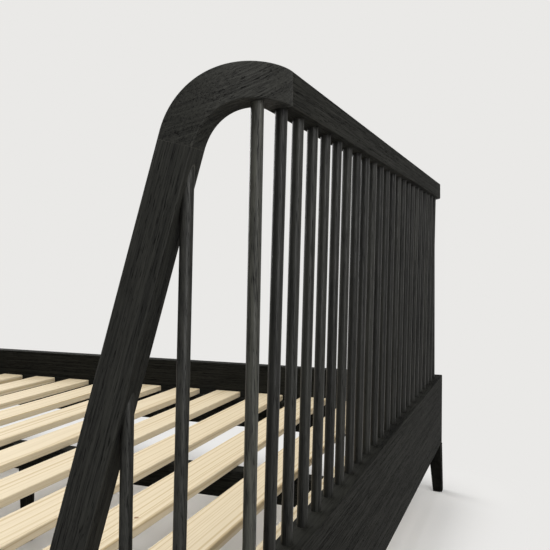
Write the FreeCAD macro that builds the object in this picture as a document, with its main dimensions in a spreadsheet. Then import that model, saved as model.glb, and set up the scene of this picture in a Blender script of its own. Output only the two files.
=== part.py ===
import FreeCAD, Part
import math
import os
from Sketcher import Constraint

# Spindle bed for a 1600 x 2000 mattress, in millimetres.
# X runs along the headboard, +Y from the headboard to the foot end, +Z up.
# The origin lies on the floor, under the middle of the whole bed.
# The left side is -X. Y positions are written from the back of the head rail.

SIZES = [
    ("overall_width", 1712, "outside of one side rail to the outside of the other"),
    ("bed_length", 2110, "back of the head rail to the front of the foot rail"),
    ("floor_gap", 166, "floor to the underside of the rails"),
    ("rail_height", 237, "height of the four base rails"),
    ("rail_thick", 45, "thickness of the base rails"),
    ("rail_round", 3, "rounding of the base rails' long edges"),
    ("head_height", 1050, "floor to the top of the crest rail"),
    ("crest_height", 46, "height of the crest rail at its back"),
    ("crest_thick", 36, "thickness of the crest rail, the corner blocks and the posts"),
    ("crest_length", 1432, "straight crest rail between the two corner blocks"),
    ("crest_setback", 7, "crest rail's back behind the back of the head rail"),
    ("crest_round", 2, "rounding of the crest rail's, blocks' and posts' long edges"),
    ("corner_radius", 92, "outer radius of the corner block seen from above"),
    ("crown_start", 8, "flat top at the back of the crest rail and the corner blocks"),
    ("crown_radius", 172, "outer radius of the corner block's crown, seen from the side"),
    ("crown_turn", 30, "degrees by which the corner block's crown turns down"),
    ("shoulder_radius", 100, "outer radius of the block below its crown, seen from the side"),
    ("arch_inner", 82, "inner radius of the corner block seen from the side"),
    ("post_width", 50.5, "width of the wing post seen from the side"),
    ("post_rake", 14.8, "degrees between the wing post and the vertical"),
    ("spindle_radius", 8.4, "radius of every spindle"),
    ("foot_pitch", 68.6, "spacing of the back spindles at the head rail"),
    ("head_pitch", 67.1, "spacing of the back spindles at the crest rail"),
    ("foot_line", 25, "back of the head rail to the feet of the back spindles"),
    ("head_line", 13, "back of the head rail to the heads of the back spindles"),
    ("corner_head_x", 761, "middle of the bed to the head of the corner spindle"),
    ("corner_head_y", 24, "back of the head rail to the head of the corner spindle"),
    ("wing_first", 95, "back of the head rail to the foot of the first wing spindle"),
    ("wing_pitch", 75, "spacing of the wing spindles"),
    ("wing_forward", 6.5, "distance by which a wing spindle's head stands before its foot"),
    ("socket_depth", 20, "depth of the spindles' sockets"),
    ("post_socket", 40, "height of a wing spindle's end above the post's rear face"),
    ("leg_top", 43, "side of the square leg under the rail"),
    ("leg_foot", 31, "side of the square leg at the floor"),
    ("leg_proud", 1.5, "distance by which the top of a leg stands outside the rails"),
    ("leg_splay", 5, "distance by which the foot stands outside the rails"),
    ("leg_round", 3, "rounding of the legs' edges"),
    ("slat_thick", 20, "thickness of the slats"),
    ("slat_width", 100, "width of the slats"),
    ("slat_play", 4, "end of a slat to the side rail"),
    ("slat_round", 3, "rounding of the edges of the slats, ledges and beam"),
    ("slat_top", 300, "floor to the top of the slats"),
    ("slat_first", 60, "end of the bay to the middle of the first slat"),
    ("ledge_width", 30, "width of the ledges under the slats"),
    ("ledge_height", 40, "height of the ledges"),
    ("beam_width", 45, "width of the centre beam"),
    ("beam_height", 70, "height of the centre beam"),
    ("beam_housing", 15, "depth of the beam's housings in the end rails"),
    ("centre_leg_top", 22, "radius of the centre leg at the beam"),
    ("centre_leg_foot", 16, "radius of the centre leg at the floor"),
    ("plate_thick", 4, "thickness of the steel corner brackets"),
    ("plate_length", 70, "length of each arm of a corner bracket"),
    ("plate_height", 60, "height of a corner bracket"),
    ("plate_low", 182, "floor to the lower edge of a corner bracket"),
    ("plate_round", 1, "rounding of a corner bracket's upright edges"),
    ("screw_radius", 3, "radius of a bracket screw's shank"),
    ("screw_length", 34, "length of a bracket screw's shank"),
    ("screw_head_radius", 6, "radius of a bracket screw's head"),
    ("screw_head", 3, "height of a bracket screw's head"),
    ("dowel_radius", 5, "radius of the dowels"),
    ("dowel_half", 25, "depth of a dowel in each of its two pieces"),
]

BACK_SPINDLES = 24
WING_SPINDLES = 2
SLATS = 12
SIDES = (("left", -1), ("right", 1))

doc = FreeCAD.newDocument("SpindleBed")
sheet = doc.addObject("Spreadsheet::Sheet", "Sizes")
for row, (alias, value, note) in enumerate(SIZES, start=1):
    sheet.set(f"A{row}", note)
    sheet.set(f"B{row}", str(value))
    sheet.setAlias(f"B{row}", alias)
doc.recompute()


class Dim:
    """A size that carries its number and the expression that drives it."""

    def __init__(self, text, value):
        self.text = text
        self.value = value

    @staticmethod
    def of(size):
        return size if isinstance(size, Dim) else Dim(f"({size})", float(size))

    def __add__(self, other):
        other = Dim.of(other)
        return Dim(f"({self.text} + {other.text})", self.value + other.value)

    def __sub__(self, other):
        other = Dim.of(other)
        return Dim(f"({self.text} - {other.text})", self.value - other.value)

    def __mul__(self, other):
        other = Dim.of(other)
        return Dim(f"({self.text} * {other.text})", self.value * other.value)

    def __truediv__(self, other):
        other = Dim.of(other)
        return Dim(f"({self.text} / {other.text})", self.value / other.value)


def cell(alias):
    """The spreadsheet's size of that name."""
    return Dim(f"Sizes.{alias}", float(sheet.get(alias)))


def sin(angle):
    return Dim(f"sin({angle.text})", math.sin(math.radians(angle.value)))


def cos(angle):
    return Dim(f"cos({angle.text})", math.cos(math.radians(angle.value)))


def root(square):
    return Dim(f"sqrt({square.text})", math.sqrt(square.value))


# Sizes that follow from the driving ones. SHIFT moves Y from the back of the head
# rail to the middle of the bed.
SHIFT = (cell("crest_setback") - cell("bed_length") - cell("leg_splay")) / 2
HALF = cell("overall_width") / 2
RAIL = cell("rail_thick")
RAIL_LOW = cell("floor_gap")
RAIL_TOP = RAIL_LOW + cell("rail_height")
BAY_HALF = HALF - RAIL
BAY_END = cell("bed_length") - RAIL
HEAD = cell("head_height")
CREST = cell("crest_height")
THICK = cell("crest_thick")
CREST_BACK = cell("crest_setback") * -1
CREST_HALF = cell("crest_length") / 2
CORNER = cell("corner_radius")
CORNER_Y = CREST_BACK + CORNER
WING_TOP_X = CREST_HALF + CORNER
LEAN = (HALF - WING_TOP_X) / (HEAD - RAIL_TOP)
RAKE = cell("post_rake")
SLOPE = sin(RAKE) / cos(RAKE)
SLAT_LOW = cell("slat_top") - cell("slat_thick")

# The headboard's outline from the side, as (Y, Z). The top of a corner block is a flat
# crown that turns into a tighter shoulder, and the shoulder runs into the raked post.
CROWN = cell("crown_radius")
CROWN_TURN = cell("crown_turn")
CROWN_CENTRE = (CREST_BACK + cell("crown_start"), HEAD - CROWN)
CROWN_START = (CROWN_CENTRE[0], HEAD)
CROWN_END = (
    CROWN_CENTRE[0] + CROWN * sin(CROWN_TURN),
    CROWN_CENTRE[1] + CROWN * cos(CROWN_TURN),
)
SHOULDER = cell("shoulder_radius")
SHOULDER_CENTRE = (
    CROWN_CENTRE[0] + (CROWN - SHOULDER) * sin(CROWN_TURN),
    CROWN_CENTRE[1] + (CROWN - SHOULDER) * cos(CROWN_TURN),
)
SHOULDER_END = (
    SHOULDER_CENTRE[0] + SHOULDER * cos(RAKE),
    SHOULDER_CENTRE[1] + SHOULDER * sin(RAKE),
)
# Its underside is one arc, which touches the crest's underside and the post's rear face.
WIDTH = cell("post_width")
INNER = cell("arch_inner")
INNER_Z = HEAD - CREST - INNER
INNER_RISE = SHOULDER - WIDTH - INNER + (SHOULDER_CENTRE[1] - INNER_Z) * sin(RAKE)
INNER_Y = SHOULDER_CENTRE[0] + INNER_RISE / cos(RAKE)
INNER_CENTRE = (INNER_Y, INNER_Z)
INNER_START = (INNER_Y, HEAD - CREST)
JOINT_REAR = (INNER_Y + INNER * cos(RAKE), INNER_Z + INNER * sin(RAKE))
JOINT_FRONT = (JOINT_REAR[0] + WIDTH * cos(RAKE), JOINT_REAR[1] + WIDTH * sin(RAKE))
FOOT_FRONT = (JOINT_FRONT[0] + (JOINT_FRONT[1] - RAIL_TOP) * SLOPE, RAIL_TOP)
FOOT_REAR = (JOINT_REAR[0] + (JOINT_REAR[1] - RAIL_TOP) * SLOPE, RAIL_TOP)


def wing_middle(z):
    """Distance from the bed's middle plane to the middle of a wing at height z."""
    return HALF - THICK / 2 - (Dim.of(z) - RAIL_TOP) * LEAN


def bind(thing, prop, size):
    thing.setExpression(prop, Dim.of(size).text)


def place(thing, x, y, z):
    """Drive where a piece stands; y counts from the back of the head rail."""
    bind(thing, "Placement.Base.x", x)
    bind(thing, "Placement.Base.y", Dim.of(y) + SHIFT)
    bind(thing, "Placement.Base.z", z)


def add_sketch(body, plane, name, lift=0):
    """A sketch on one of the body's own origin planes, lifted along its normal."""
    sketch = body.newObject("Sketcher::SketchObject", name)
    face = next(item for item in body.Origin.OriginFeatures if item.Role == plane)
    sketch.AttachmentSupport = (face, [""])
    sketch.MapMode = "FlatFace"
    bind(sketch, "AttachmentOffset.Base.z", lift)
    return sketch


def draw(sketch, outline):
    """Close an outline of corners (x, y) or (x, y, radius, centre, turn).

    A corner with a radius starts an arc that runs to the next corner about that
    centre; turn is +1 for anticlockwise and -1 for clockwise.
    """
    corners = [(Dim.of(item[0]), Dim.of(item[1])) for item in outline]
    count = len(outline)
    starts = []
    ends = []
    for i, item in enumerate(outline):
        here = FreeCAD.Vector(corners[i][0].value, corners[i][1].value, 0)
        after = corners[(i + 1) % count]
        there = FreeCAD.Vector(after[0].value, after[1].value, 0)
        if len(item) == 2:
            sketch.addGeometry(Part.LineSegment(here, there), False)
            starts.append(1)
            ends.append(2)
            continue
        radius, centre, turn = item[2:]
        middle = FreeCAD.Vector(Dim.of(centre[0]).value, Dim.of(centre[1]).value, 0)
        first, last = (here, there) if turn > 0 else (there, here)
        angles = [math.atan2(p.y - middle.y, p.x - middle.x) for p in (first, last)]
        circle = Part.Circle(middle, FreeCAD.Vector(0, 0, 1), Dim.of(radius).value)
        sketch.addGeometry(Part.ArcOfCircle(circle, *angles), False)
        starts.append(1 if turn > 0 else 2)
        ends.append(2 if turn > 0 else 1)
    for i in range(count):
        after = (i + 1) % count
        sketch.addConstraint(Constraint("Coincident", i, ends[i], after, starts[after]))
    for i, item in enumerate(outline):
        for kind, size in zip(("DistanceX", "DistanceY"), corners[i]):
            number = sketch.addConstraint(Constraint(kind, -1, 1, i, starts[i], size.value))
            sketch.setExpression(f"Constraints[{number}]", size.text)
        if len(item) > 2:
            radius = Dim.of(item[2])
            number = sketch.addConstraint(Constraint("Radius", i, radius.value))
            sketch.setExpression(f"Constraints[{number}]", radius.text)


def round_edges(body, base, radius, wanted):
    """Round those edges of a body's feature that the test asks for."""
    doc.recompute()
    names = [f"Edge{i}" for i, edge in enumerate(base.Shape.Edges, start=1) if wanted(edge)]
    fillet = body.newObject("PartDesign::Fillet", "Rounding")
    fillet.Base = (base, names)
    bind(fillet, "Radius", radius)
    return fillet


def has_length(edge, length):
    return abs(edge.Length - length.value) < LENGTH_TOLERANCE


LENGTH_TOLERANCE = 0.01
PLANE_ACROSS = {"x": "YZ_Plane", "y": "XZ_Plane", "z": "XY_Plane"}


def bar(label, along, length, side_a, side_b, radius):
    """A straight bar with rounded long edges, centred on its body's origin.

    along is the axis of its length; side_a and side_b are the section's sizes along
    the two other axes, in the order X, Y, Z.
    """
    body = doc.addObject("PartDesign::Body", label)
    body.Label = label
    section = add_sketch(body, PLANE_ACROSS[along], "Section")
    a, b = side_a / 2, side_b / 2
    draw(section, [(a * -1, b * -1), (a, b * -1), (a, b), (a * -1, b)])
    pad = body.newObject("PartDesign::Pad", "Length")
    pad.Profile = section
    pad.SideType = "Symmetric"
    bind(pad, "Length", length)
    round_edges(body, pad, radius, lambda edge: has_length(edge, length))
    return body


def cylinder(label, radius, start, end):
    """A round bar from one point to another; y counts from the head rail's back."""
    start = [Dim.of(size) for size in start]
    run = [Dim.of(b) - a for a, b in zip(start, end)]
    level = root(run[0] * run[0] + run[1] * run[1])
    rod = doc.addObject("Part::Cylinder", label)
    rod.Label = label
    bind(rod, "Radius", radius)
    bind(rod, "Height", root(level * level + run[2] * run[2]))
    tilt = f"atan2({level.text}; {run[2].text})"
    base = f"{start[0].text}; {(start[1] + SHIFT).text}; {start[2].text}"
    axis = f"0 - {run[1].text}; {run[0].text}; 0"
    rod.setExpression(
        "Placement", f"placement(vector({base}); rotation(vector({axis}); {tilt}))"
    )
    return rod


def group(label, pieces):
    """Several pieces kept as separate solids under one name."""
    bundle = doc.addObject("Part::Compound", label)
    bundle.Label = label
    bundle.Links = pieces
    return bundle


def cut(label, blank, tools):
    """A piece with the sockets and housings of the pieces that go into it."""
    result = doc.addObject("Part::Cut", label)
    result.Label = label
    result.Base = blank
    result.Tool = tools[0] if len(tools) == 1 else group(f"{label}_inserts", tools)
    return result


def between(start, end, share):
    """The point at that share of the way from start to end."""
    return tuple(Dim.of(a) + (Dim.of(b) - a) * share for a, b in zip(start, end))


def stretched(start, end, before, after):
    """A nearly upright line made longer at both ends, measured along Z."""
    rise = Dim.of(end[2]) - start[2]
    low = Dim.of(before) / rise * -1
    high = Dim.of(after) / rise + 1
    return between(start, end, low), between(start, end, high)


# Dowels and spindles come first, because their sockets are cut with them.
back_spindles = []
for i in range(BACK_SPINDLES):
    step = i - (BACK_SPINDLES - 1) / 2
    foot = (cell("foot_pitch") * step, cell("foot_line"), RAIL_TOP)
    head = (cell("head_pitch") * step, cell("head_line"), HEAD - CREST)
    if i in (0, BACK_SPINDLES - 1):
        head = (cell("corner_head_x") * math.copysign(1, step), cell("corner_head_y"), head[2])
    foot, head = stretched(foot, head, cell("socket_depth"), cell("socket_depth"))
    name = f"back_spindle_{i + 1:02d}"
    back_spindles.append(cylinder(name, cell("spindle_radius"), foot, head))

wing_spindles = {}
for side, sign in SIDES:
    wing_spindles[side] = []
    for i in range(WING_SPINDLES):
        y = cell("wing_first") + cell("wing_pitch") * i
        low = RAIL_TOP - cell("socket_depth")
        head_y = y + cell("wing_forward")
        top = JOINT_REAR[1] - (head_y - JOINT_REAR[0]) / SLOPE + cell("post_socket")
        foot = (wing_middle(low) * sign, y, low)
        head = (wing_middle(top) * sign, head_y, top)
        name = f"wing_spindle_{side}_{i + 1}"
        wing_spindles[side].append(cylinder(name, cell("spindle_radius"), foot, head))


def dowel(name, middle, direction):
    """A dowel through a joint's middle point along a direction of length one."""
    reach = [Dim.of(size) * cell("dowel_half") for size in direction]
    start = [Dim.of(m) - r for m, r in zip(middle, reach)]
    end = [Dim.of(m) + r for m, r in zip(middle, reach)]
    return cylinder(name, cell("dowel_radius"), start, end)


# A turning axis needs a direction that is not exactly upright.
NEARLY_UPRIGHT = (0.0001, 0, 1)
crest_dowels = {}
arch_dowels = {}
post_dowels = {}
CREST_DOWEL_Z = HEAD - CREST / 3
ARCH_JOINT = between(JOINT_REAR, JOINT_FRONT, 0.5)
POST_FOOT = between(FOOT_REAR, FOOT_FRONT, 0.5)
for side, sign in SIDES:
    middle = (CREST_HALF * sign, CREST_BACK + THICK / 2, CREST_DOWEL_Z)
    crest_dowels[side] = dowel(f"crest_dowel_{side}", middle, (sign, 0, 0))
    down_post = (LEAN * sign * cos(RAKE), sin(RAKE), cos(RAKE) * -1)
    middle = (wing_middle(ARCH_JOINT[1]) * sign, *ARCH_JOINT)
    arch_dowels[side] = dowel(f"arch_dowel_{side}", middle, down_post)
    middle = (wing_middle(POST_FOOT[1]) * sign, *POST_FOOT)
    post_dowels[side] = dowel(f"post_dowel_{side}", middle, down_post)


def extrusion(name, sketch, direction, length):
    """A solid swept straight from a sketch, the same length to both sides."""
    solid = doc.addObject("Part::Extrusion", name)
    solid.Base = sketch
    solid.DirMode = "Custom"
    solid.Dir = FreeCAD.Vector(0, 0, 1)
    for axis, size in zip("xyz", direction):
        bind(solid, f"Dir.{axis}", size)
    bind(solid, "LengthFwd", length)
    bind(solid, "LengthRev", length)
    solid.Solid = True
    return solid


def free_sketch(name, turn, x, y, z):
    """A sketch that stands by itself, turned from the XY plane."""
    sketch = doc.addObject("Sketcher::SketchObject", name)
    sketch.Placement = FreeCAD.Placement(FreeCAD.Vector(0, 0, 0), turn)
    place(sketch, x, y, z)
    return sketch


# The planes of the headboard's joints, as a point and a normal. Edges there stay sharp,
# so that the pieces meet.
JOINT_TOLERANCE = 0.05
JOINT_PLANES = [
    (FreeCAD.Vector(-CREST_HALF.value, 0, 0), FreeCAD.Vector(1, 0, 0)),
    (FreeCAD.Vector(CREST_HALF.value, 0, 0), FreeCAD.Vector(1, 0, 0)),
    (FreeCAD.Vector(0, 0, RAIL_TOP.value), FreeCAD.Vector(0, 0, 1)),
    (
        FreeCAD.Vector(0, (JOINT_FRONT[0] + SHIFT).value, JOINT_FRONT[1].value),
        FreeCAD.Vector(0, sin(RAKE).value, -cos(RAKE).value),
    ),
]
SMOOTH = 0.99


def in_joint(edge):
    """Whether both ends of an edge lie in the plane of a joint."""
    ends = (edge.Vertexes[0].Point, edge.Vertexes[-1].Point)
    return any(
        all(abs((end - point).dot(normal)) < JOINT_TOLERANCE for end in ends)
        for point, normal in JOINT_PLANES
    )


def is_corner(edge, shape):
    """Whether the two faces at an edge meet at an angle, not smoothly."""
    middle = edge.valueAt((edge.FirstParameter + edge.LastParameter) / 2)
    normals = [
        face.normalAt(*face.Surface.parameter(middle))
        for face in shape.ancestorsOfType(edge, Part.Face)
    ]
    return abs(normals[0].dot(normals[-1])) < SMOOTH


def rounded(label, square):
    """A headboard piece with its corners rounded, except at its joints."""
    doc.recompute()
    piece = doc.addObject("Part::Fillet", label)
    piece.Base = square
    radius = cell("crest_round").value
    piece.Edges = [
        (number, radius, radius)
        for number, edge in enumerate(square.Shape.Edges, start=1)
        if is_corner(edge, square.Shape) and not in_joint(edge)
    ]
    return piece


FLAT = FreeCAD.Rotation()
SIDEWAYS = FreeCAD.Rotation(FreeCAD.Vector(0, 1, 0), FreeCAD.Vector(0, 0, 1), FreeCAD.Vector(1, 0, 0))
PLAN_OVERLAP = 30

# Crest rail: straight, between the two corner blocks, with their outline seen from the
# side, so that its top and its underside meet theirs flush.
CREST_FRONT = CREST_BACK + THICK


def arc_height(centre, radius, y):
    """Height of an arc about that centre, above it, at y."""
    offset = y - centre[0]
    return centre[1] + root(radius * radius - offset * offset)


crest_section = free_sketch("crest_section", SIDEWAYS, 0, 0, 0)
draw(crest_section, [
    (CREST_BACK, HEAD - CREST),
    (*INNER_START, INNER, INNER_CENTRE, -1),
    (CREST_FRONT, arc_height(INNER_CENTRE, INNER, CREST_FRONT)),
    (CREST_FRONT, arc_height(CROWN_CENTRE, CROWN, CREST_FRONT), CROWN, CROWN_CENTRE, 1),
    CROWN_START,
    (CREST_BACK, HEAD),
])
crest_square = extrusion("crest_square", crest_section, (1, 0, 0), CREST_HALF)
crest_blank = rounded("crest_blank", crest_square)
crest_rail = cut("crest_rail", crest_blank, back_spindles[1:-1] + list(crest_dowels.values()))


def wing_piece(label, sign, side_view, inner_x):
    """A piece of a wing: its outline from the side, cut from the leaning bent plan.

    Seen from above the wing turns the corner round a quarter circle and runs on
    straight; this plan is swept up along the wing's lean. The side view is swept
    across it, from inner_x outwards, and what the two have in common is the piece.
    """
    front = FOOT_FRONT[0] + PLAN_OVERLAP
    inner = CORNER - THICK
    turn = 1 if sign < 0 else -1
    centre = (CREST_HALF * sign, CORNER_Y)
    start_x = (CREST_HALF - PLAN_OVERLAP) * sign
    plan = free_sketch(f"{label}_plan", FLAT, 0, 0, HEAD)
    draw(plan, [
        (start_x, CREST_BACK),
        (CREST_HALF * sign, CREST_BACK, CORNER, centre, -turn),
        (WING_TOP_X * sign, CORNER_Y),
        (WING_TOP_X * sign, front),
        ((WING_TOP_X - THICK) * sign, front),
        ((WING_TOP_X - THICK) * sign, CORNER_Y, inner, centre, turn),
        (CREST_HALF * sign, CREST_BACK + THICK),
        (start_x, CREST_BACK + THICK),
    ])
    swept_plan = extrusion(f"{label}_swept", plan, (LEAN * sign * -1, 0, 1), HEAD)
    view = free_sketch(f"{label}_view", SIDEWAYS, 0, 0, 0)
    draw(view, side_view)
    reach = HALF - inner_x
    bind(view, "Placement.Base.x", (inner_x + reach / 2) * sign)
    across = extrusion(f"{label}_across", view, (1, 0, 0), reach / 2)
    square = doc.addObject("Part::MultiCommon", f"{label}_square")
    square.Shapes = [swept_plan, across]
    return rounded(f"{label}_blank", square)


corner_blocks = {}
wing_posts = {}
VIEW_MARGIN = 10
VIEW_BACK = CREST_BACK - VIEW_MARGIN
for side, sign in SIDES:
    block_view = [
        (VIEW_BACK, HEAD - CREST),
        (*INNER_START, INNER, INNER_CENTRE, -1),
        JOINT_REAR,
        JOINT_FRONT,
        (*SHOULDER_END, SHOULDER, SHOULDER_CENTRE, 1),
        (*CROWN_END, CROWN, CROWN_CENTRE, 1),
        CROWN_START,
        (VIEW_BACK, HEAD),
    ]
    blank = wing_piece(f"corner_block_{side}", sign, block_view, CREST_HALF)
    corner_spindle = back_spindles[0 if sign < 0 else -1]
    inserts = [corner_spindle, crest_dowels[side], arch_dowels[side]]
    corner_blocks[side] = cut(f"corner_block_{side}", blank, inserts)
    post_view = [JOINT_REAR, FOOT_REAR, FOOT_FRONT, JOINT_FRONT]
    blank = wing_piece(f"wing_post_{side}", sign, post_view, CREST_HALF)
    inserts = [arch_dowels[side], post_dowels[side], *wing_spindles[side]]
    wing_posts[side] = cut(f"wing_post_{side}", blank, inserts)

# Centre beam, housed in the head rail and the foot rail.
beam_length = BAY_END - RAIL + cell("beam_housing") * 2
BAY_MIDDLE = (RAIL + BAY_END) / 2
BEAM_LOW = SLAT_LOW - cell("beam_height")
beam_blank = bar(
    "beam_blank", "y", beam_length, cell("beam_width"), cell("beam_height"), cell("slat_round")
)
place(beam_blank, 0, BAY_MIDDLE, SLAT_LOW - cell("beam_height") / 2)
centre_dowel = dowel("centre_dowel", (0, BAY_MIDDLE, BEAM_LOW), NEARLY_UPRIGHT)
centre_beam = cut("centre_beam", beam_blank, [centre_dowel])

# Centre leg: a turned, tapered leg under the beam.
leg_cone = doc.addObject("Part::Cone", "centre_leg_blank")
bind(leg_cone, "Radius1", cell("centre_leg_foot"))
bind(leg_cone, "Radius2", cell("centre_leg_top"))
bind(leg_cone, "Height", BEAM_LOW)
place(leg_cone, 0, BAY_MIDDLE, 0)
centre_leg = cut("centre_leg", leg_cone, [centre_dowel])

# Legs: square, tapered on the inner faces, splayed a little outwards.
LEG_TOP_MARGIN = 1
legs = []
leg_dowels = {}
ENDS = (("rear", -1, Dim.of(0)), ("front", 1, cell("bed_length")))
for end, end_sign, corner_y in ENDS:
    leg_dowels[end] = []
    for side, sign in SIDES:
        body = doc.addObject("PartDesign::Body", f"leg_{end}_{side}_blank")
        profiles = []
        for level, lift, size, out in (
            ("Top", RAIL_LOW, cell("leg_top"), cell("leg_proud")),
            ("Foot", Dim.of(0), cell("leg_foot"), cell("leg_splay")),
        ):
            profile = add_sketch(body, "XY_Plane", f"{level}Section", lift)
            near_x, far_x = out * sign, (out - size) * sign
            near_y, far_y = out * end_sign, (out - size) * end_sign
            draw(profile, [(near_x, near_y), (far_x, near_y), (far_x, far_y), (near_x, far_y)])
            profiles.append(profile)
        loft = body.newObject("PartDesign::AdditiveLoft", "Taper")
        loft.Profile = profiles[0]
        loft.Sections = profiles[1:]
        loft.Ruled = True
        top = RAIL_LOW.value - LEG_TOP_MARGIN
        round_edges(body, loft, cell("leg_round"), lambda edge: edge.BoundBox.ZMin < top)
        place(body, HALF * sign, corner_y, 0)
        middle_x = (HALF - cell("leg_top") / 2) * sign
        middle_y = corner_y - cell("leg_top") / 2 * end_sign
        middle = (middle_x, middle_y, RAIL_LOW)
        pin = dowel(f"leg_dowel_{end}_{side}", middle, NEARLY_UPRIGHT)
        leg_dowels[end].append(pin)
        legs.append(cut(f"leg_{end}_{side}", body, [pin]))

# Steel corner brackets and their screws, inside the corners under the slats.
brackets = []
screws = []
screw_sets = {"head": [], "foot": [], "left": [], "right": []}
PLATE = cell("plate_thick")
ARM = cell("plate_length")
PLATE_MIDDLE = cell("plate_low") + cell("plate_height") / 2
SCREW_SHARES = (0.4, 0.8)


def screw(name, head_at, into):
    """A flat-headed screw: its head lies on the plate, its shank goes into the wood."""
    start = [Dim.of(a) for a in head_at]
    top = [a - cell("screw_head") * b for a, b in zip(start, into)]
    tip = [a + cell("screw_length") * b for a, b in zip(start, into)]
    shank = cylinder(f"{name}_shank", cell("screw_radius"), start, tip)
    head = cylinder(f"{name}_head", cell("screw_head_radius"), top, start)
    whole = doc.addObject("Part::MultiFuse", name)
    whole.Shapes = [shank, head]
    return whole


for end, end_sign, wall_y in (("head", 1, RAIL), ("foot", -1, BAY_END)):
    for side, sign in SIDES:
        inner = -sign
        wall_x = BAY_HALF * sign
        arms = []
        for name, size_x, size_y in (("across", ARM, PLATE), ("along", PLATE, ARM)):
            plate = bar(
                f"plate_{end}_{side}_{name}", "z", cell("plate_height"), size_x, size_y,
                cell("plate_round"),
            )
            centre_x = wall_x + size_x / 2 * inner
            centre_y = wall_y + size_y / 2 * end_sign
            place(plate, centre_x, centre_y, PLATE_MIDDLE)
            arms.append(plate)
        angle = doc.addObject("Part::MultiFuse", f"angle_{end}_{side}")
        angle.Shapes = arms
        plate_screws = []
        for number, share in enumerate(SCREW_SHARES, start=1):
            reach = ARM * share
            head_at = (wall_x + reach * inner, wall_y + PLATE * end_sign, PLATE_MIDDLE)
            into = (0, -end_sign, 0)
            piece = screw(f"screw_{end}_{side}_across_{number}", head_at, into)
            screw_sets[end].append(piece)
            plate_screws.append(piece)
            head_at = (wall_x + PLATE * inner, wall_y + reach * end_sign, PLATE_MIDDLE)
            piece = screw(f"screw_{end}_{side}_along_{number}", head_at, (sign, 0, 0))
            screw_sets[side].append(piece)
            plate_screws.append(piece)
        screws += plate_screws
        brackets.append(cut(f"bracket_{end}_{side}", angle, plate_screws))

# Base rails. The head and foot rails run the full width; the side rails butt
# against them.
rail_height = cell("rail_height")
rail_middle_z = RAIL_LOW + rail_height / 2
rail_round = cell("rail_round")
end_rails = {}
for end, middle_y in (("head", RAIL / 2), ("foot", BAY_END + RAIL / 2)):
    blank = bar(f"{end}_rail_blank", "x", HALF * 2, RAIL, rail_height, rail_round)
    place(blank, 0, middle_y, rail_middle_z)
    inserts = [beam_blank, *screw_sets[end]]
    inserts += leg_dowels["rear" if end == "head" else "front"]
    if end == "head":
        inserts += back_spindles
    end_rails[end] = cut(f"{end}_rail", blank, inserts)

side_rails = {}
ledges = {}
for side, sign in SIDES:
    blank = bar(f"side_rail_{side}_blank", "y", BAY_END - RAIL, RAIL, rail_height, rail_round)
    place(blank, (HALF - RAIL / 2) * sign, BAY_MIDDLE, rail_middle_z)
    inserts = [post_dowels[side], *wing_spindles[side], *screw_sets[side]]
    side_rails[side] = cut(f"side_rail_{side}", blank, inserts)
    ledge = bar(
        f"slat_ledge_{side}", "y", BAY_END - RAIL, cell("ledge_width"), cell("ledge_height"),
        cell("slat_round"),
    )
    ledge_x = (BAY_HALF - cell("ledge_width") / 2) * sign
    place(ledge, ledge_x, BAY_MIDDLE, SLAT_LOW - cell("ledge_height") / 2)
    ledges[side] = ledge

# Slats, from one ledge across the beam to the other.
slats = []
slat_length = (BAY_HALF - cell("slat_play")) * 2
slat_pitch = (BAY_END - RAIL - cell("slat_first") * 2) / (SLATS - 1)
for i in range(SLATS):
    slat = bar(
        f"slat_{i + 1:02d}", "x", slat_length, cell("slat_width"), cell("slat_thick"),
        cell("slat_round"),
    )
    place(slat, 0, RAIL + cell("slat_first") + slat_pitch * i, SLAT_LOW + cell("slat_thick") / 2)
    slats.append(slat)

all_dowels = [*crest_dowels.values(), *arch_dowels.values(), *post_dowels.values()]
all_dowels += [*leg_dowels["rear"], *leg_dowels["front"], centre_dowel]
nodes = [
    crest_rail, *corner_blocks.values(), *wing_posts.values(), *back_spindles,
    *wing_spindles["left"], *wing_spindles["right"], *end_rails.values(),
    *side_rails.values(), *legs, *ledges.values(), centre_beam, centre_leg, *slats,
    group("corner_brackets", brackets), group("bracket_screws", screws),
    group("dowels", all_dowels),
]

doc.recompute()
for thing in doc.Objects:
    if "Invalid" in thing.State or "Error" in thing.State:
        raise RuntimeError(f"{thing.Label} did not compute: {thing.State}")
for node in nodes:
    if node.Shape.isNull() or not node.Shape.isValid() or not node.Shape.Solids:
        raise RuntimeError(f"{node.Label} has no sound shape")

os.makedirs("parts", exist_ok=True)
for node in nodes:
    node.Shape.exportStep(f"parts/{node.Label}.step")
    print(node.Label, len(node.Shape.Solids), round(node.Shape.Volume))
print(len(nodes), "nodes")
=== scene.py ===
import logging
import math
from dataclasses import dataclass
from enum import Enum
from typing import Any

import bpy
from mathutils import Euler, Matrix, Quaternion, Vector

# A low spindle bed of black-stained oak. Lengths are millimetres where a name ends
# in mm, and metres elsewhere. X runs along the headboard, +Y to the foot end, +Z up.
# Every piece comes from the CAD frame; this script gives each its finish, and adds
# the studio and the camera.

Triple = tuple[float, float, float]
Range = tuple[float, float]
Plane = tuple[Triple, Triple]

LOG = logging.getLogger("spindle_bed")
MM = 0.001

# The sockets of a Mix node share their names, so they are picked by number.
SHARE = 0
LOW, HIGH, LEVEL = 2, 3, 0
FIRST, SECOND, COLOUR = 6, 7, 2


def linear(hex_colour: str) -> tuple[float, float, float, float]:
    """Turns an sRGB hex colour to linear light.

    The curve is the sRGB standard's own: straight near black, and a power above that.

    Args:
        hex_colour: Six hex digits after a hash sign.

    Returns:
        Red, green, blue and an alpha of one.
    """
    parts = [int(hex_colour[i:i + 2], 16) / 255 for i in (1, 3, 5)]
    turned = [part / 12.92 if part <= 0.04045 else ((part + 0.055) / 1.055) ** 2.4
              for part in parts]
    return (*turned, 1.0)


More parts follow.
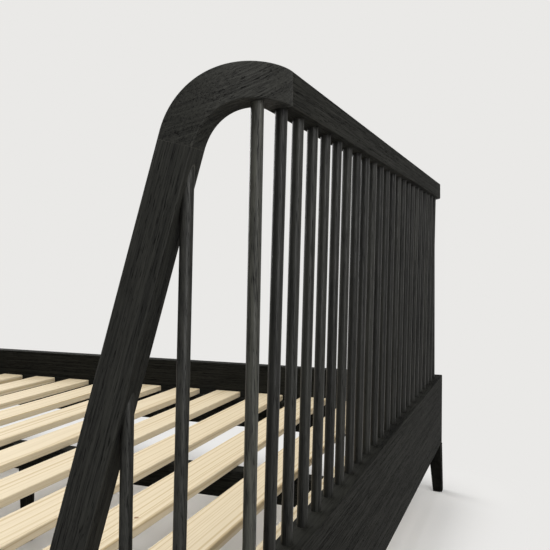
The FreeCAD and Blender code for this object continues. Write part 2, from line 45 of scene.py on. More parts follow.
def put(tree: bpy.types.NodeTree, kind: str, inputs: dict[Any, Any] | None = None,
        **settings: Any) -> bpy.types.Node:
    """Adds a node with its settings and links.

    Args:
        tree: The node tree that gets the node.
        kind: The node's type name.
        inputs: For each input's name or number, a value or the socket that feeds it.
        settings: The node's own properties.

    Returns:
        The new node.
    """
    node = tree.nodes.new(kind)
    for name, value in settings.items():
        setattr(node, name, value)
    for key, value in (inputs or {}).items():
        if isinstance(value, bpy.types.NodeSocket):
            tree.links.new(value, node.inputs[key])
        else:
            node.inputs[key].default_value = value
    return node


def new_material(name: str) -> tuple[bpy.types.Material, bpy.types.NodeTree]:
    """Makes an empty node material.

    Args:
        name: The material's name.

    Returns:
        The material and its cleared node tree.
    """
    material = bpy.data.materials.new(name)
    material.use_nodes = True
    material.node_tree.nodes.clear()
    return material, material.node_tree


def turn_to_x(direction: Vector, roll_deg: float = 0.0) -> Euler:
    """The rotation that lays a direction along X.

    Args:
        direction: The way the grain runs, in the object's frame.
        roll_deg: A further turn about the grain, which turns the yearly layers.

    Returns:
        The rotation for a Mapping node, after which the grain runs along X.
    """
    turn = direction.normalized().rotation_difference(Vector((1, 0, 0)))
    roll = Quaternion((1, 0, 0), math.radians(roll_deg))
    return (roll @ turn).to_euler()


class Grain(Enum):
    """The ways in which the boards' grain runs."""

    ACROSS_BED = (1.0, 0.0, 0.0)
    ALONG_BED = (0.0, 1.0, 0.0)
    UPRIGHT = (0.0, 0.0, 1.0)


class Finish(Enum):
    """How smooth the stained oak is: its roughness and the strength of its sheen."""

    # Planed flat and barely oiled: an even, matt black.
    PLANED = (0.78, 0.05)
    # Shaped and sanded by hand, with a little more oil: dull, with a grey bloom.
    SHAPED = (0.72, 0.17)
    # Sanded fine as it turns: the smoothest, with one soft bright line down each rod.
    TURNED = (0.44, 0.2)


class Rod(Enum):
    """How much light a spindle's wood keeps under the stain, against the usual.

    Spindles are turned from different boards, which take the stain differently. The shades
    are partly painted light as well: the pale one stands for the extra light on the nearest
    back spindle by the corner, and the deep ones, bunched towards the far end, are painted
    shade.
    """

    DEEP = 0.6
    MIDDLE = 0.95
    PALE = 2.3


@dataclass(frozen=True)
class BlackOak:
    """Oak, planed and sanded, stained black, and finished with a matt oil worked in by
    rubbing.

    The stain leaves the open pores as the darkest lines and the hard summer wood a
    little lighter, and the oil gives a soft sheen that grows at a low angle.
    """

    name: str
    grain: Triple
    seed: float = 0.0
    tone: float = 1.0
    roll_deg: float = 0.0
    finish: Finish = Finish.PLANED
    glue_lines: tuple[Plane, ...] = ()

    stain: str = "#11110f"
    summer: str = "#22221e"
    pore: str = "#070706"
    # A lighter colour for the arrises: partly stain thinned by rubbing, partly a painted
    # highlight for the light the rounded edges catch.
    rubbed_and_highlight: str = "#4a4842"

    # Each piece is cut from another place: its seed moves the pattern along the grain,
    # and by this share of it sideways.
    side_step: float = 0.3
    depth: float = 0.1

    # Each size is along the grain, along the yearly layers and through them. Real pores
    # and fibres are only some 0.3 mm wide: they are drawn wider, so that they show.
    pore_size_mm: Triple = (22.0, 1.5, 1.3)
    fibre_size_mm: Triple = (62.0, 2.2, 1.8)
    year_size_mm: Triple = (420.0, 60.0, 3.0)
    cloud_size_mm: Triple = (300.0, 90.0, 90.0)
    streak_roughness: float = 0.6

    # The noise above which a pore opens: at a layer's darkest and how much more at its
    # lightest, and how far above that the pore is fully black.
    pore_from: float = 0.38
    pore_rise: float = 0.35
    pore_fade: float = 0.12

    # The figure is the yearly layers, so much weakened, with the fibres over them.
    year_share: float = 0.7
    figure_range: Range = (0.66, 1.04)
    cloud_range: Range = (0.3, 0.7)
    cloud_tone: Range = (0.88, 1.12)
    sheen_range: Range = (0.82, 1.18)
    pore_sheen: float = 0.45
    roughness_swing: float = 0.06
    pore_roughness: float = 0.1
    relief_mm: float = 0.3
    relief_strength: float = 0.5

    # The hairline of glue, and the share of its width that is fully dark.
    glue_line_mm: float = 0.7
    glue_core: float = 0.4

    # The edge is where the rounded normal leaves the flat one: its cosine where the lighter
    # edge, part thinned stain and part painted highlight, starts and where it is full, and
    # the noise between which it comes and goes.
    edge_band_mm: float = 1.8
    edge_samples: int = 4
    edge_cosine: Range = (0.99, 0.86)
    edge_patches: Range = (0.4, 0.65)

    def streaks(self, tree: bpy.types.NodeTree, along: bpy.types.NodeSocket,
                size_mm: Triple, detail: float = 2.0) -> bpy.types.NodeSocket:
        """Draws a noise whose cells are long with the grain and narrow across it.

        Args:
            tree: The material's node tree.
            along: Coordinates whose X runs with the grain.
            size_mm: A cell's length with the grain, its width along the yearly layers
                and its depth through them.
            detail: How many finer layers the noise has.

        Returns:
            The noise, from 0 to 1.
        """
        scale = [1 / (length * MM) for length in size_mm]
        cells = put(tree, "ShaderNodeMapping", {
            "Vector": along, "Scale": scale}).outputs[0]
        return put(tree, "ShaderNodeTexNoise", {
            "Vector": cells, "Scale": 1.0, "Detail": detail,
            "Roughness": self.streak_roughness}).outputs[0]

    def glue_line(self, tree: bpy.types.NodeTree, coords: bpy.types.NodeSocket,
                  colour: bpy.types.NodeSocket) -> bpy.types.NodeSocket:
        """Darkens the hairline where two pieces are glued end to end.

        The line is drawn a little wider than the real one, so that it shows.

        Args:
            tree: The material's node tree.
            coords: The object's own coordinates.
            colour: The wood's colour.

        Returns:
            The colour with its joint lines.
        """
        for point, normal in self.glue_lines:
            moved = put(tree, "ShaderNodeVectorMath", {
                0: coords, 1: [length * MM for length in point]},
                operation="SUBTRACT").outputs[0]
            depth = put(tree, "ShaderNodeVectorMath", {
                0: moved, 1: Vector(normal).normalized()},
                operation="DOT_PRODUCT").outputs["Value"]
            gap = put(tree, "ShaderNodeMath", {0: depth}, operation="ABSOLUTE").outputs[0]
            line = put(tree, "ShaderNodeMapRange", {
                "Value": gap, "From Min": self.glue_core * self.glue_line_mm * MM,
                "From Max": self.glue_line_mm * MM, "To Min": 1.0, "To Max": 0.0},
                interpolation_type="SMOOTHSTEP").outputs[0]
            colour = put(tree, "ShaderNodeMix", {
                SHARE: line, FIRST: colour, SECOND: linear(self.pore)},
                data_type="RGBA").outputs[COLOUR]
        return colour

    def find_worn_and_highlit_edges(self, tree: bpy.types.NodeTree,
                  uneven: bpy.types.NodeSocket) -> bpy.types.NodeSocket:
        """Finds the arrises, where cloth and hands rub the stain thin, and where a painted
        highlight stands for the light the rounded edges catch.

        Args:
            tree: The material's node tree.
            uneven: A noise that makes the thinned stain and the painted highlight come and
                go along an edge.

        Returns:
            How far the edge is lightened, by thinned stain and by painted highlight, from 0
            to 1.
        """
        starts, full = self.edge_cosine
        flat = put(tree, "ShaderNodeNewGeometry").outputs["Normal"]
        rounded = put(tree, "ShaderNodeBevel", {"Radius": self.edge_band_mm * MM},
                      samples=self.edge_samples).outputs[0]
        same = put(tree, "ShaderNodeVectorMath", {0: flat, 1: rounded},
                   operation="DOT_PRODUCT").outputs["Value"]
        edge = put(tree, "ShaderNodeMapRange", {
            "Value": same, "From Min": starts, "From Max": full}).outputs[0]
        patchy = put(tree, "ShaderNodeMapRange", {
            "Value": uneven, "From Min": self.edge_patches[0],
            "From Max": self.edge_patches[1]}).outputs[0]
        return put(tree, "ShaderNodeMath", {0: edge, 1: patchy},
                   operation="MULTIPLY").outputs[0]

    def over_figure(self, tree: bpy.types.NodeTree, figure: bpy.types.NodeSocket,
                    low: float = 0.0, high: float = 1.0) -> bpy.types.NodeSocket:
        """Lets a value run from the dark spring wood to the light summer wood.

        Args:
            tree: The material's node tree.
            figure: The grain's figure.
            low: The value in the spring wood.
            high: The value in the summer wood.

        Returns:
            The value at each place.
        """
        return put(tree, "ShaderNodeMapRange", {
            "Value": figure, "From Min": self.figure_range[0],
            "From Max": self.figure_range[1], "To Min": low, "To Max": high}).outputs[0]

    def material(self) -> bpy.types.Material:
        """Builds the finish.

        Returns:
            The node material.
        """
        material, tree = new_material(self.name)
        coords = put(tree, "ShaderNodeTexCoord").outputs["Object"]
        along = put(tree, "ShaderNodeMapping", {
            "Vector": coords, "Rotation": turn_to_x(Vector(self.grain), self.roll_deg),
            "Location": (self.seed, self.side_step * self.seed, self.depth)}).outputs[0]
        pores = self.streaks(tree, along, self.pore_size_mm)
        fibre = self.streaks(tree, along, self.fibre_size_mm, detail=4.0)
        years = self.streaks(tree, along, self.year_size_mm)
        cloud = self.streaks(tree, along, self.cloud_size_mm)
        roughness, sheen = self.finish.value

        # Pores open mostly in the spring wood, the darker part of each yearly layer.
        spring = put(tree, "ShaderNodeMath", {
            0: years, 1: self.pore_rise, 2: self.pore_from},
            operation="MULTIPLY_ADD").outputs[0]
        over = put(tree, "ShaderNodeMath", {0: pores, 1: spring},
                   operation="SUBTRACT").outputs[0]
        open_pore = put(tree, "ShaderNodeMapRange", {
            "Value": over, "From Min": 0.0, "From Max": self.pore_fade},
            interpolation_type="SMOOTHSTEP").outputs[0]
        figure = put(tree, "ShaderNodeMath", {0: years, 1: self.year_share, 2: fibre},
                     operation="MULTIPLY_ADD").outputs[0]

        light = self.over_figure(tree, figure)
        body = put(tree, "ShaderNodeMix", {
            SHARE: light, FIRST: linear(self.stain), SECOND: linear(self.summer)},
            data_type="RGBA").outputs[COLOUR]
        # The stain takes unevenly over a board, in wide soft clouds.
        thin, thick = self.cloud_tone
        shade = put(tree, "ShaderNodeMapRange", {
            "Value": cloud, "From Min": self.cloud_range[0],
            "From Max": self.cloud_range[1], "To Min": thin * self.tone,
            "To Max": thick * self.tone}).outputs[0]
        shaded = put(tree, "ShaderNodeVectorMath", {0: body, "Scale": shade},
                     operation="SCALE").outputs[0]
        grained = put(tree, "ShaderNodeMix", {
            SHARE: open_pore, FIRST: shaded, SECOND: linear(self.pore)},
            data_type="RGBA").outputs[COLOUR]
        # The arrises are lightened: partly stain thinned by rubbing, partly a painted
        # highlight for the light they catch.
        wear_and_highlight_share = self.find_worn_and_highlit_edges(tree, cloud)
        worn_and_highlit = put(tree, "ShaderNodeMix", {
            SHARE: wear_and_highlight_share, FIRST: grained, SECOND: linear(self.rubbed_and_highlight)},
            data_type="RGBA").outputs[COLOUR]
        colour = self.glue_line(tree, coords, worn_and_highlit)

        # The hard summer wood is sanded smoother and shines more than the spring wood.
        oiled = self.over_figure(tree, figure, roughness + self.roughness_swing,
                                 roughness - self.roughness_swing)
        rough = put(tree, "ShaderNodeMath", {
            0: open_pore, 1: self.pore_roughness, 2: oiled},
            operation="MULTIPLY_ADD").outputs[0]
        dull, bright = self.sheen_range
        glossy = self.over_figure(tree, figure, dull * sheen, bright * sheen)
        # An open pore holds little oil, so it has less sheen.
        level = put(tree, "ShaderNodeMix", {
            SHARE: open_pore, LOW: glossy, HIGH: self.pore_sheen * sheen}).outputs[LEVEL]
        # The pores are sunk and the summer wood stands a little proud.
        ridge = put(tree, "ShaderNodeMath", {0: open_pore, 1: -1.0, 2: figure},
                    operation="MULTIPLY_ADD").outputs[0]
        bump = put(tree, "ShaderNodeBump", {
            "Strength": self.relief_strength, "Distance": self.relief_mm * MM,
            "Height": ridge}).outputs[0]
        surface = put(tree, "ShaderNodeBsdfPrincipled", {
            "Base Color": colour, "Roughness": rough, "Normal": bump,
            "Specular IOR Level": level}).outputs[0]
        put(tree, "ShaderNodeOutputMaterial", {"Surface": surface})
        return material


@dataclass(frozen=True)
class PaleWood:
    """Planed pine or beech with no finish: dull, with uneven, soft yearly lines."""

    name: str
    grain: Triple
    early: str = "#d2c4a8"
    late: str = "#b7a37f"
    knot: str = "#7d5c3a"
    roughness: float = 0.68

    # The log's heart runs beside the piece. The yearly lines are rings around it that
    # sway by so much, over such a length with the grain and such a width across it.
    heart: Triple = (0.0, 0.05, 0.11)
    ring_mm: float = 5.5
    ring_roughness: float = 0.6
    late_range: Range = (0.46, 0.72)
    sway_mm: float = 16.0
    sway_per_metre: Triple = (1.3, 6.0, 6.0)

    # Real fibres are some 0.1 mm wide: they are drawn wider, so that they show.
    fibre_mm: float = 1.6
    fibre_stretch: float = 60.0
    fibre_share: float = 0.45
    relief_mm: float = 0.2
    relief_strength: float = 0.3

    # A knot is dark to so much of its width, and gone at so much.
    knot_mm: float = 5.0
    knot_every_mm: Triple = (420.0, 150.0, 60.0)
    knot_dark: float = 0.5
    knot_gone: float = 1.4

    def knots(self, tree: bpy.types.NodeTree,
              along: bpy.types.NodeSocket) -> bpy.types.NodeSocket:
        """Sets a few small round knots far apart along the boards.

        Each cell of a coarse pattern has one point, and a knot is what lies near it.

        Args:
            tree: The material's node tree.
            along: Coordinates whose X runs with the grain.

        Returns:
            One in a knot's heart, falling to zero around it.
        """
        spread = [length * MM for length in self.knot_every_mm]
        cells = put(tree, "ShaderNodeVectorMath", {0: along, 1: spread},
                    operation="DIVIDE").outputs[0]
        points = put(tree, "ShaderNodeTexVoronoi", {
            "Vector": cells, "Scale": 1.0}).outputs["Position"]
        apart = put(tree, "ShaderNodeVectorMath", {0: cells, 1: points},
                    operation="SUBTRACT").outputs[0]
        real = put(tree, "ShaderNodeVectorMath", {0: apart, 1: spread},
                   operation="MULTIPLY").outputs[0]
        away = put(tree, "ShaderNodeVectorMath", {0: real},
                   operation="LENGTH").outputs["Value"]
        return put(tree, "ShaderNodeMapRange", {
            "Value": away, "From Min": self.knot_dark * self.knot_mm * MM,
            "From Max": self.knot_gone * self.knot_mm * MM,
            "To Min": 1.0, "To Max": 0.0}, interpolation_type="SMOOTHSTEP").outputs[0]

    def rings(self, tree: bpy.types.NodeTree,
              along: bpy.types.NodeSocket) -> bpy.types.NodeSocket:
        """Draws the yearly rings, with widths that differ from year to year.

        The distance from the log's heart, swayed by a slow noise, is counted in rings,
        and a noise along that count is the year's growth.

        Args:
            tree: The material's node tree.
            along: Coordinates whose X runs with the grain.

        Returns:
            How much late wood there is, from 0 to 1.
        """
        slow = put(tree, "ShaderNodeMapping", {
            "Vector": along, "Scale": self.sway_per_metre}).outputs[0]
        sway = put(tree, "ShaderNodeTexNoise", {
            "Vector": slow, "Scale": 1.0, "Detail": 1.0}).outputs[0]
        flat = put(tree, "ShaderNodeVectorMath", {0: along, 1: (0.0, 1.0, 1.0)},
                   operation="MULTIPLY").outputs[0]
        out = put(tree, "ShaderNodeVectorMath", {0: flat},
                  operation="LENGTH").outputs["Value"]
        swayed = put(tree, "ShaderNodeMath", {0: sway, 1: self.sway_mm * MM, 2: out},
                     operation="MULTIPLY_ADD").outputs[0]
        year = put(tree, "ShaderNodeMath", {0: swayed, 1: 1 / (self.ring_mm * MM)},
                   operation="MULTIPLY").outputs[0]
        growth = put(tree, "ShaderNodeTexNoise", {
            "W": year, "Scale": 1.0, "Detail": 2.0, "Roughness": self.ring_roughness},
            noise_dimensions="1D").outputs[0]
        return put(tree, "ShaderNodeMapRange", {
            "Value": growth, "From Min": self.late_range[0],
            "From Max": self.late_range[1]}, interpolation_type="SMOOTHSTEP").outputs[0]

    def material(self) -> bpy.types.Material:
        """Builds the finish.

        Returns:
            The node material.
        """
        material, tree = new_material(self.name)
        coords = put(tree, "ShaderNodeTexCoord").outputs["Object"]
        along = put(tree, "ShaderNodeMapping", {
            "Vector": coords, "Rotation": turn_to_x(Vector(self.grain)),
            "Location": self.heart}).outputs[0]
        late = self.rings(tree, along)
        across = 1 / (self.fibre_mm * MM)
        thin = put(tree, "ShaderNodeMapping", {
            "Vector": along,
            "Scale": (across / self.fibre_stretch, across, across)}).outputs[0]
        fibre = put(tree, "ShaderNodeTexNoise", {
            "Vector": thin, "Scale": 1.0, "Detail": 3.0}).outputs[0]
        mixed = put(tree, "ShaderNodeMath", {0: fibre, 1: self.fibre_share, 2: late},
                    operation="MULTIPLY_ADD").outputs[0]
        lined = put(tree, "ShaderNodeMix", {
            SHARE: mixed, FIRST: linear(self.early), SECOND: linear(self.late)},
            data_type="RGBA").outputs[COLOUR]
        colour = put(tree, "ShaderNodeMix", {
            SHARE: self.knots(tree, along), FIRST: lined, SECOND: linear(self.knot)},
            data_type="RGBA").outputs[COLOUR]
        bump = put(tree, "ShaderNodeBump", {
            "Strength": self.relief_strength, "Distance": self.relief_mm * MM,
            "Height": fibre}).outputs[0]
        surface = put(tree, "ShaderNodeBsdfPrincipled", {
            "Base Color": colour, "Roughness": self.roughness,
            "Normal": bump}).outputs[0]
        put(tree, "ShaderNodeOutputMaterial", {"Surface": surface})
        return material


@dataclass(frozen=True)
class ZincSteel:
    """Cold-rolled steel, zinc plated: grey crystals and fine rolling lines.

    The crystals catch the light one by one, and the lines draw the gloss out sideways.
    """

    name: str
    bright: str = "#b9bcbf"
    dull: str = "#8e9296"
    roughness: float = 0.36
    roughness_fall: float = 0.08
    roughness_rise: float = 0.12
    crystal_mm: float = 5.0

    # Real rolling lines are some 0.05 mm wide: they are drawn wider, so that they show.
    line_mm: float = 0.35
    line_stretch: float = 60.0
    line_share: float = 0.5
    tone_range: Range = (0.2, 1.3)
    relief_mm: float = 0.05
    relief_strength: float = 0.15

    def material(self) -> bpy.types.Material:
        """Builds the finish.

        Returns:
            The node material.
        """
        material, tree = new_material(self.name)
        coords = put(tree, "ShaderNodeTexCoord").outputs["Object"]
        crystal = put(tree, "ShaderNodeTexVoronoi", {
            "Vector": coords, "Scale": 1 / (self.crystal_mm * MM)}).outputs["Color"]
        shade = put(tree, "ShaderNodeSeparateColor", {0: crystal}).outputs[0]
        across = 1 / (self.line_mm * MM)
        drawn = put(tree, "ShaderNodeMapping", {
            "Vector": coords,
            "Scale": (across, across, across / self.line_stretch)}).outputs[0]
        lines = put(tree, "ShaderNodeTexNoise", {
            "Vector": drawn, "Scale": 1.0, "Detail": 2.0}).outputs[0]
        tone = put(tree, "ShaderNodeMath", {0: lines, 1: self.line_share, 2: shade},
                   operation="MULTIPLY_ADD").outputs[0]
        low, high = self.tone_range
        patchy = put(tree, "ShaderNodeMapRange", {
            "Value": tone, "From Min": low, "From Max": high}).outputs[0]
        colour = put(tree, "ShaderNodeMix", {
            SHARE: patchy, FIRST: linear(self.bright), SECOND: linear(self.dull)},
            data_type="RGBA").outputs[COLOUR]
        rough = put(tree, "ShaderNodeMapRange", {
            "Value": tone, "From Min": low, "From Max": high,
            "To Min": self.roughness - self.roughness_fall,
            "To Max": self.roughness + self.roughness_rise}).outputs[0]
        bump = put(tree, "ShaderNodeBump", {
            "Strength": self.relief_strength, "Distance": self.relief_mm * MM,
            "Height": lines}).outputs[0]
        surface = put(tree, "ShaderNodeBsdfPrincipled", {
            "Base Color": colour, "Roughness": rough, "Metallic": 1.0,
            "Normal": bump}).outputs[0]
        put(tree, "ShaderNodeOutputMaterial", {"Surface": surface})
        return material


def dress(node: str, material: bpy.types.Material) -> None:
    """Gives a CAD node its finish.

    Args:
        node: The node's name.
        material: The material for all of it.
    """
    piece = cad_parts[node]
    for slot in piece.material_slots:
        slot.material = material
    if not piece.material_slots:
        piece.data.materials.append(material)
    LOG.info("dressed %s", node)


def nodes_named(start: str) -> list[str]:
    """The CAD nodes whose names begin with some words, in order."""
    return sorted(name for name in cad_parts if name.startswith(start))


@dataclass
class Headboard:
    """The crest rail, its two bent wings and the spindles under them."""

    # A wing's post leans in towards its top, by so much for each unit of its length.
    wing_lean: float = 0.0742
    post_rake_deg: float = 14.8
    crest_half_mm: float = 716.0
    post_joint_mm: Triple = (0.0, -917.7, 955.9)
    # The crest rail's and the posts' tones below one are painted shade: darker copies of
    # the same stain where their faces catch little light.
    crest_tone: float = 0.85
    block_tone: float = 0.95
    post_tone: float = 0.85
    post_roll_deg: float = 90.0

    # A block's board lies straight across the corner, and its grain climbs so much.
    diagonal: float = 0.707
    block_grain_deg: float = 27.0

    # Each spindle's shade by its first letter: the 24 back ones, then the wings' four. The
    # pale first back spindle is partly painted light, and the deep letters gathered towards
    # the far end are painted shade.
    rods: str = "PDMMMDMDDMDDDMDDDMDDMDDDMMMM"
    rod_pore_mm: Triple = (24.0, 1.0, 1.0)
    rod_year_mm: Triple = (500.0, 20.0, 3.0)
    sides: tuple[tuple[str, int], ...] = (("left", -1), ("right", 1))

    def glue_lines(self, sign: int) -> tuple[Plane, ...]:
        """The planes in which a block is glued to its post and to the crest rail.

        Args:
            sign: -1 for the left block and +1 for the right.

        Returns:
            A point and a normal for each plane.
        """
        rake = math.radians(self.post_rake_deg)
        post = (self.post_joint_mm, (0.0, -math.sin(rake), math.cos(rake)))
        crest = ((sign * self.crest_half_mm, 0.0, 0.0), (1.0, 0.0, 0.0))
        return (post, crest)

    def block_direction(self, sign: int) -> Triple:
        """The way a corner block's grain runs.

        Args:
            sign: -1 for the left wing and +1 for the right.

        Returns:
            The direction of the block's grain.
        """
        slope = math.radians(self.block_grain_deg)
        level = self.diagonal * math.cos(slope)
        return (-sign * level, -level, math.sin(slope))

    def post_direction(self, sign: int) -> Triple:
        """The way a wing post runs, down and forwards.

        Args:
            sign: -1 for the left wing and +1 for the right.

        Returns:
            The direction of the post's grain.
        """
        rake = math.radians(self.post_rake_deg)
        return (self.wing_lean * sign, math.sin(rake), -math.cos(rake))

    def dress_wing(self, side: str, sign: int) -> None:
        """Dresses a corner block and its post.

        Args:
            side: The side's name.
            sign: -1 for the left wing and +1 for the right.
        """
        block = BlackOak(
            f"corner_oak_{side}", self.block_direction(sign), seed=1.7 + sign,
            tone=self.block_tone, finish=Finish.SHAPED, glue_lines=self.glue_lines(sign))
        dress(f"corner_block_{side}", block.material())
        post = BlackOak(
            f"post_oak_{side}", self.post_direction(sign), seed=4.1 + sign,
            tone=self.post_tone, finish=Finish.SHAPED, roll_deg=self.post_roll_deg)
        dress(f"wing_post_{side}", post.material())

    def dress_spindles(self) -> None:
        """Dresses the spindles, which have one of three shades each."""
        oaks = {}
        for count, rod in enumerate(Rod):
            oak = BlackOak(
                f"spindle_oak_{rod.name.lower()}", Grain.UPRIGHT.value, seed=2.2 + count,
                tone=rod.value, finish=Finish.TURNED, pore_size_mm=self.rod_pore_mm,
                year_size_mm=self.rod_year_mm)
            oaks[rod.name[0]] = oak.material()
        names = nodes_named("back_spindle_") + nodes_named("wing_spindle_")
        for name, letter in zip(names, self.rods, strict=True):
            dress(name, oaks[letter])

    def build(self) -> None:
        """Dresses the rail, the wings and the spindles."""
        crest = BlackOak("crest_oak", Grain.ACROSS_BED.value, seed=0.3,
                         tone=self.crest_tone)
        dress("crest_rail", crest.material())
        for side, sign in self.sides:
            self.dress_wing(side, sign)
        self.dress_spindles()


@dataclass
class Base:
    """The four rails and the four corner legs."""

    # These tones below one are painted shade: the head rail's rear face and the legs under
    # the rails get darker copies of the same stain, as they catch little light.
    head_rail_tone: float = 0.8
    leg_tone: float = 0.45

    def build(self) -> None:
        """Dresses the rails and the legs."""
        head = BlackOak("head_rail_oak", Grain.ACROSS_BED.value, seed=6.4,
                        tone=self.head_rail_tone)
        dress("head_rail", head.material())
        foot = BlackOak("foot_rail_oak", Grain.ACROSS_BED.value, seed=8.9)
        dress("foot_rail", foot.material())
        for count, name in enumerate(nodes_named("side_rail_")):
            side = BlackOak(f"{name}_oak", Grain.ALONG_BED.value, seed=24.0 + count)
            dress(name, side.material())
        leg = BlackOak("leg_oak", Grain.UPRIGHT.value, seed=12.0, tone=self.leg_tone)
        leg_finish = leg.material()
        for name in nodes_named("leg_"):
            dress(name, leg_finish)


@dataclass
class SlatDeck:
    """The slats, the ledges under their ends, the centre beam and its leg."""

    def build(self) -> None:
        """Dresses the deck."""
        slat = PaleWood("slat_pine", Grain.ACROSS_BED.value).material()
        inner = BlackOak("inner_oak", Grain.ALONG_BED.value, seed=15.0).material()
        for name in nodes_named("slat_"):
            dress(name, inner if "ledge" in name else slat)
        dress("centre_beam", inner)
        leg = BlackOak("centre_leg_oak", Grain.UPRIGHT.value, seed=17.0)
        dress("centre_leg", leg.material())


@dataclass
class Hardware:
    """The steel corner brackets, their screws and the wooden dowels."""

    dowel_ring_mm: float = 4.0

    def build(self) -> None:
        """Dresses the brackets, the screws and the dowels."""
        steel = ZincSteel("zinc_steel").material()
        dress("corner_brackets", steel)
        dress("bracket_screws", steel)
        beech = PaleWood("dowel_beech", Grain.UPRIGHT.value, ring_mm=self.dowel_ring_mm)
        dress("dowels", beech.material())


@dataclass
class Camera:
    """The photograph's camera: behind the headboard, past its near end."""

    place_mm: Triple = (-1549.7, -1356.9, 808.2)
    # The heading is from +X towards +Y, and the camera looks down a little.
    heading_deg: float = 21.042
    down_deg: float = 1.417
    focal_px: float = 679.9
    frame_px: float = 550.0
    sensor_mm: float = 36.0
    sees_from: float = 0.01
    sees_to: float = 100.0

    def build(self) -> None:
        """Puts the camera in place and makes it the scene's own."""
        data = bpy.data.cameras.new("photo_camera")
        data.sensor_width = self.sensor_mm
        data.lens = self.focal_px / self.frame_px * self.sensor_mm
        data.clip_start = self.sees_from
        data.clip_end = self.sees_to
        camera = bpy.data.objects.new("photo_camera", data)
        bpy.context.scene.collection.objects.link(camera)
        camera.location = [length * MM for length in self.place_mm]
        tilt = math.radians(90 - self.down_deg)
        turn = math.radians(self.heading_deg - 90)
        camera.rotation_euler = (tilt, 0.0, turn)
        bpy.context.scene.camera = camera


@dataclass(frozen=True)
class Lamp:
    """A soft lamp, so wide and so high, with its watts and the place it faces."""

    name: str
    place: Triple
    size: tuple[float, float]
    power: float
    target: Triple = (0.0, -0.8, 0.5)

    def build(self) -> None:
        """Hangs the lamp."""
        data = bpy.data.lights.new(self.name, "AREA")
        data.shape = "RECTANGLE"
        data.size, data.size_y = self.size
        data.energy = self.power
        lamp = bpy.data.objects.new(self.name, data)
        bpy.context.scene.collection.objects.link(lamp)
        lamp.location = self.place
        aim = Vector(self.target) - Vector(self.place)
        lamp.rotation_euler = aim.to_track_quat("-Z", "Y").to_euler()


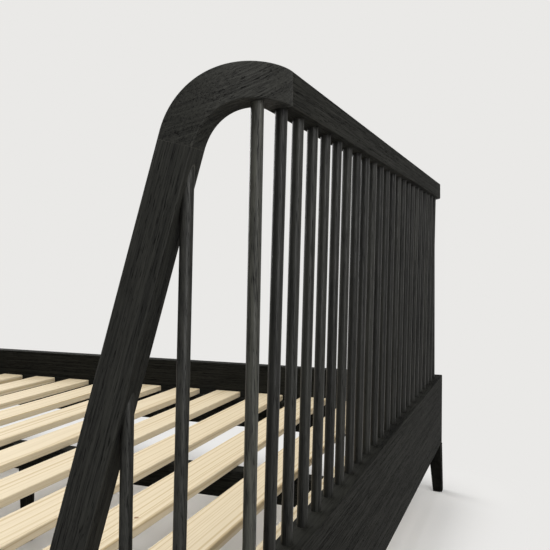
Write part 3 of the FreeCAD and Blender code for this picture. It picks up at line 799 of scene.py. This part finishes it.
@dataclass
class Studio:
    """A pale floor that fades into a pale surround, and soft lamps."""

    backdrop: str = "#eae9e7"
    world_light: float = 0.14
    floor_size: float = 60.0

    # The floor turns to the backdrop's colour between these distances from the bed.
    fade_from: float = 0.0
    fade_to: float = 0.32
    bed_half: tuple[float, float] = (0.82, 1.02)
    lamps: tuple[Lamp, ...] = (
        Lamp("window", (-2.7, -3.2, 1.1), (1.2, 1.6), 42.0, (-0.7, -0.1, 0.9)),
        Lamp("soft_rear", (-1.2, -4.6, 3.0), (2.4, 2.4), 95.0),
        Lamp("soft_left", (-2.8, -1.6, 3.6), (2.4, 2.4), 85.0, (-0.4, -0.8, 0.8)),
        Lamp("ceiling", (0.3, 0.3, 4.4), (3.2, 3.2), 130.0, (0.3, 0.3, 0.0)),
        Lamp("soft_front", (2.8, 4.6, 2.6), (2.4, 2.4), 140.0, (0.0, 0.0, 0.4)),
    )

    def build(self) -> None:
        """Makes the floor, the world and the lamps."""
        self.make_floor()
        self.make_world()
        for lamp in self.lamps:
            lamp.build()

    def shows_backdrop(self, tree: bpy.types.NodeTree) -> bpy.types.NodeSocket:
        """Tells the rays that see the backdrop from those that only carry its light.

        Args:
            tree: The node tree of the floor or the world.

        Returns:
            One for a camera, glossy or transmission ray, otherwise zero.
        """
        path = put(tree, "ShaderNodeLightPath").outputs
        seen = put(tree, "ShaderNodeMath", {
            0: path["Is Camera Ray"], 1: path["Is Glossy Ray"]},
            operation="MAXIMUM").outputs[0]
        return put(tree, "ShaderNodeMath", {
            0: seen, 1: path["Is Transmission Ray"]}, operation="MAXIMUM").outputs[0]

    def floor_fade(self, tree: bpy.types.NodeTree) -> bpy.types.NodeSocket:
        """Measures how far the floor lies outside the bed's rectangle.

        The distance is that of |x| and |y| past half the bed's width and length.

        Args:
            tree: The floor's node tree.

        Returns:
            Zero beside the bed, rising to one where the backdrop begins.
        """
        coords = put(tree, "ShaderNodeTexCoord").outputs["Object"]
        flat = put(tree, "ShaderNodeVectorMath", {0: coords},
                   operation="ABSOLUTE").outputs[0]
        beyond = put(tree, "ShaderNodeVectorMath", {
            0: flat, 1: (*self.bed_half, 0.0)}, operation="SUBTRACT").outputs[0]
        outside = put(tree, "ShaderNodeVectorMath", {
            0: beyond, 1: (0.0, 0.0, 0.0)}, operation="MAXIMUM").outputs[0]
        reach = put(tree, "ShaderNodeVectorMath", {0: outside},
                    operation="LENGTH").outputs["Value"]
        return put(tree, "ShaderNodeMapRange", {
            "Value": reach, "From Min": self.fade_from, "From Max": self.fade_to},
            interpolation_type="SMOOTHSTEP").outputs[0]

    def make_floor(self) -> None:
        """Lays a plain pale floor that keeps the bed's shadow.

        Camera, glossy and transmission rays find the lit floor near the bed, and
        farther out the backdrop's own colour, so that no horizon shows.
        """
        half = self.floor_size / 2
        mesh = bpy.data.meshes.new("floor")
        corners = [(-half, -half, 0), (half, -half, 0), (half, half, 0), (-half, half, 0)]
        mesh.from_pydata(corners, [], [(0, 1, 2, 3)])
        floor = bpy.data.objects.new("floor", mesh)
        bpy.context.scene.collection.objects.link(floor)
        material, tree = new_material("floor_paint")
        share = put(tree, "ShaderNodeMath", {
            0: self.floor_fade(tree), 1: self.shows_backdrop(tree)},
            operation="MULTIPLY").outputs[0]
        paint = put(tree, "ShaderNodeBsdfDiffuse", {
            "Color": linear(self.backdrop)}).outputs[0]
        glow = put(tree, "ShaderNodeEmission", {
            "Color": linear(self.backdrop), "Strength": 1.0}).outputs[0]
        surface = put(tree, "ShaderNodeMixShader", {0: share, 1: paint, 2: glow}).outputs[0]
        put(tree, "ShaderNodeOutputMaterial", {"Surface": surface})
        mesh.materials.append(material)

    def make_world(self) -> None:
        """Lights the bed evenly, and shows the rays that see it a pale backdrop."""
        world = bpy.data.worlds.new("studio")
        bpy.context.scene.world = world
        world.use_nodes = True
        tree = world.node_tree
        tree.nodes.clear()
        light = put(tree, "ShaderNodeBackground", {
            "Color": (1.0, 1.0, 1.0, 1.0), "Strength": self.world_light}).outputs[0]
        seen = put(tree, "ShaderNodeBackground", {
            "Color": linear(self.backdrop), "Strength": 1.0}).outputs[0]
        both = put(tree, "ShaderNodeMixShader", {
            0: self.shows_backdrop(tree), 1: light, 2: seen}).outputs[0]
        put(tree, "ShaderNodeOutputWorld", {"Surface": both})


def main() -> None:
    """Builds the bed's looks, the studio and the camera."""
    logging.basicConfig(level=logging.INFO, format="%(name)s: %(message)s")
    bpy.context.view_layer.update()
    for part in (Headboard(), Base(), SlatDeck(), Hardware(), Studio(), Camera()):
        part.build()
        LOG.info("built %s", type(part).__name__)
    bpy.context.scene.view_settings.view_transform = "Standard"


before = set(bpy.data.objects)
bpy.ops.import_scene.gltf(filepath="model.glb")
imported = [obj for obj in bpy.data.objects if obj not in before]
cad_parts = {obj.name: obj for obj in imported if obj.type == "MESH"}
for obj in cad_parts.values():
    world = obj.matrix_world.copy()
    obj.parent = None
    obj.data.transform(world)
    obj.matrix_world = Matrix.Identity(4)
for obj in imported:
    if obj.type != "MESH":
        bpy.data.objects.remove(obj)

if __name__ == "__main__":
    main()
